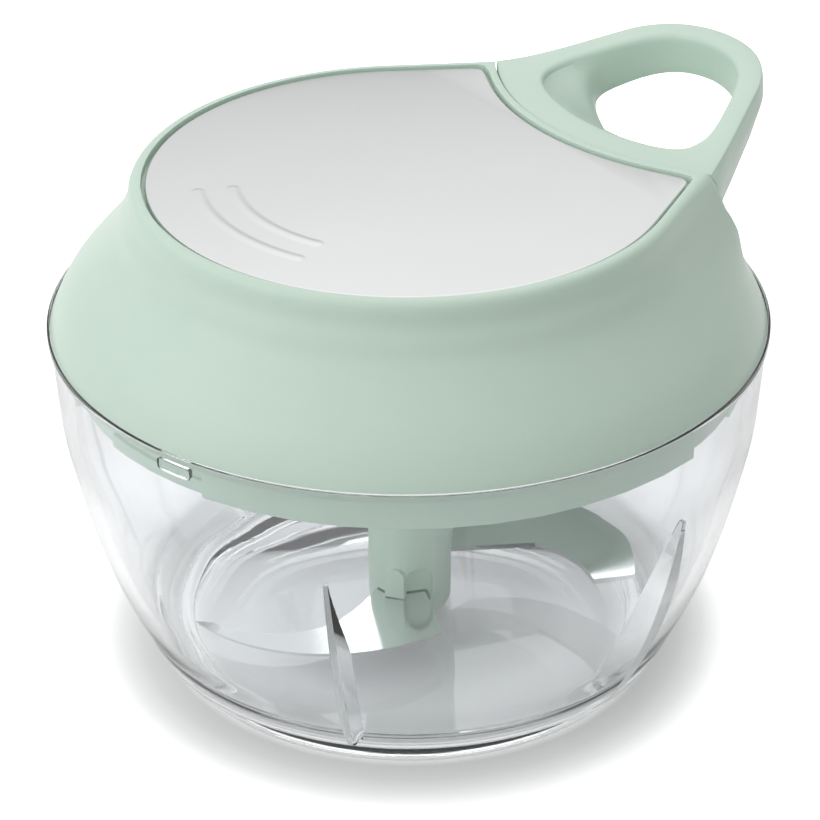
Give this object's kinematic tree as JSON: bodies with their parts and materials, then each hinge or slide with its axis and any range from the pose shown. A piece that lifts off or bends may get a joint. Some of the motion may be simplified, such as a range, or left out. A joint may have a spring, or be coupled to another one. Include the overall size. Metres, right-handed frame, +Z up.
{
  "type": "manual food chopper",
  "caption": "Pull-cord food chopper with a clear bowl, a mint bayonet lid, an inset steel plate, a docked loop handle and curved blades on a column",
  "frame": {"origin": "centre of the bounding box's bottom face; the bowl's axis stands 5.35 mm towards -X from it", "axes": "+X points along the handle, +Z points up, +Y completes the right-handed frame"},
  "size_m": [0.1376, 0.127, 0.0999],
  "materials": {
    "bowl_clear": "clear, polished",
    "mint_plastic": "satin, fine moulded grain",
    "plate_steel": "satin",
    "blade_steel": "ground",
    "spring_steel": "blued strip",
    "fastener_steel": "plated",
    "bush_brass": "turned",
    "white_resin": "moulded",
    "seal_rubber": "matte",
    "cord": "braided"
  },
  "bodies": {
    "bowl": {"bowl": "bowl_clear", "bowl_pivot_pin": "fastener_steel"},
    "blade": {"blade_column": "mint_plastic", "lower_blade": "blade_steel", "upper_blade": "blade_steel", "pivot_bush": "bush_brass"},
    "seal": {"lid_seal": "seal_rubber"},
    "lid": {"lid_cover": "mint_plastic", "top_plate": "plate_steel", "lid_base": "mint_plastic", "base_screw_1": "fastener_steel", "base_screw_2": "fastener_steel", "base_screw_3": "fastener_steel", "axle_pin": "fastener_steel", "recoil_spring": "spring_steel", "cord_eyelet": "bush_brass", "cord_lead": "cord", "drive_bearing": "bush_brass"},
    "reel": {"cord_reel": "white_resin", "reel_bush": "bush_brass", "cord_winding": "cord"},
    "driver": {"drive_shaft": "white_resin", "drive_pawl_1": "white_resin", "drive_pawl_2": "white_resin", "drive_socket": "mint_plastic", "socket_screw": "fastener_steel"},
    "handle": {"handle_grip": "mint_plastic", "cord_tail": "cord", "cord_knot": "cord", "knot_plug": "mint_plastic"}
  },
  "joints": [
    {"name": "lid_lift", "type": "slide", "parent": "bowl", "child": "seal", "axis": [0, 0, 1], "range_m": [0, 0.11]},
    {"name": "lid_twist", "type": "hinge", "parent": "seal", "child": "lid", "pos_m": [-0.00535, 0, 0.066], "axis": [0, 0, 1], "range_deg": [0, 24]},
    {"name": "handle_pull", "type": "slide", "parent": "lid", "child": "handle", "axis": [1, 0, 0], "range_m": [0, 0.3], "stiffness_N_per_m": 12, "springref_m": -0.15},
    {"name": "reel_spin", "type": "hinge", "parent": "lid", "child": "reel", "pos_m": [-0.00535, 0, 0.066], "axis": [0, 0, 1], "range_deg": [0, 881]},
    {"name": "driver_spin", "type": "hinge", "parent": "lid", "child": "driver", "pos_m": [-0.00535, 0, 0.066], "axis": [0, 0, 1], "continuous": true},
    {"name": "blade_spin", "type": "hinge", "parent": "bowl", "child": "blade", "pos_m": [-0.00535, 0, 0.066], "axis": [0, 0, 1], "continuous": true}
  ],
  "couplings": [
    {"joint": "reel_spin", "follows": "handle_pull", "rad_per_m": 51.216},
    {"joint": "driver_spin", "follows": "handle_pull", "rad_per_m": 51.216},
    {"joint": "blade_spin", "follows": "handle_pull", "rad_per_m": 51.216}
  ]
}
